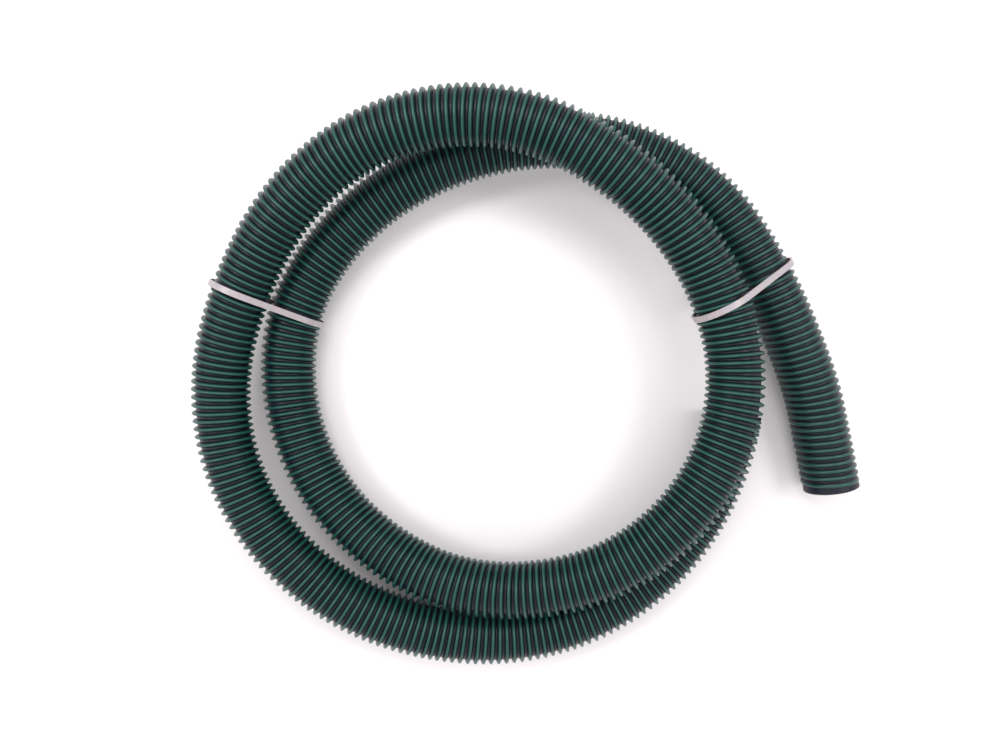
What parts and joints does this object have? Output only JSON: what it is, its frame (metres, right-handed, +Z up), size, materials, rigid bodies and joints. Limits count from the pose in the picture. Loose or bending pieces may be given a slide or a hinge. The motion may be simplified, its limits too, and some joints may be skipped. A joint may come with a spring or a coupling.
{
  "type": "sewer hose kit",
  "caption": "Corrugated caravan waste hose lying as a loose coil, both ends plain and open, held by nylon cable ties round its crossing turns.",
  "frame": {"origin": "on the floor, under the middle of the coil's outline", "axes": "+Z up from the floor the coil lies on, +X along the coil's longer side, towards the free end's side"},
  "size_m": [0.5768, 0.4797, 0.1193],
  "materials": {
    "hose_wall": "green rib wound on a black wall, satin",
    "nylon": "natural, slightly translucent"
  },
  "bodies": {
    "coil": {"hose_free_end": "hose_wall", "hose_tail": "hose_wall", "hose_inner_turn": "hose_wall", "hose_crossing": "hose_wall", "hose_outer_turn": "hose_wall", "hose_tucked_end": "hose_wall", "left_tie": "nylon", "right_tie": "nylon"},
    "left_pawl": {"left_tie_pawl": "nylon"},
    "right_pawl": {"right_tie_pawl": "nylon"}
  },
  "joints": [
    {"name": "left_pawl_flex", "type": "hinge", "parent": "coil", "child": "left_pawl", "pos_m": [-0.26291, 0.08989, 0.04038], "axis": [-0.3953, -0.9172, -0.0497], "range_deg": [0, 10], "stiffness_Nm_per_rad": 0.02},
    {"name": "right_pawl_flex", "type": "hinge", "parent": "coil", "child": "right_pawl", "pos_m": [0.21248, 0.11079, 0.02207], "axis": [-0.4817, 0.868, 0.1206], "range_deg": [0, 10], "stiffness_Nm_per_rad": 0.02}
  ]
}
